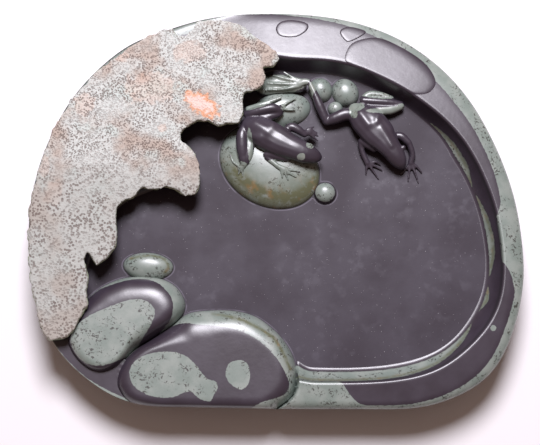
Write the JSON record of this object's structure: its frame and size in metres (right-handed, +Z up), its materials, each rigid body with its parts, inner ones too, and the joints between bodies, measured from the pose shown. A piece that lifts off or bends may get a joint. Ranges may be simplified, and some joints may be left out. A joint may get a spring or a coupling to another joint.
{
  "type": "inkstone",
  "caption": "Carved stone ink slab with a raised rim round a shallow grinding well, an overhanging lotus leaf, boulders, pebbles and frogs.",
  "frame": {"origin": "on the table, under the middle of the bounding box", "axes": "+X to the right along the longest side, with the leaf on the left; +Y away from the person who grinds ink, towards the back rim; +Z up"},
  "size_m": [0.2593, 0.2126, 0.0353],
  "materials": {
    "plum_stone": "plum-coloured slate, rubbed to a soft sheen",
    "green_stone": "grey-green layer of the same slate, rubbed to a soft sheen",
    "leaf_rind": "natural speckled rind of the slab, left matt and pitted"
  },
  "bodies": {
    "root": {"base_slab": "plum_stone", "leaf_bank": "plum_stone", "rim_wall": "plum_stone", "lotus_leaf": "leaf_rind", "corner_boulder": "plum_stone", "front_boulder": "plum_stone", "oval_pebble": "green_stone", "frog_boulder": "green_stone", "back_boulder": "green_stone", "pearl_pebble": "green_stone", "back_pebble_left": "green_stone", "back_pebble_right": "green_stone", "back_pebble_small": "green_stone", "rim_pebble_large": "plum_stone", "rim_pebble_middle": "plum_stone", "rim_pebble_left": "plum_stone", "frog_left": "plum_stone", "frog_right": "plum_stone"}
  },
  "joints": []
}
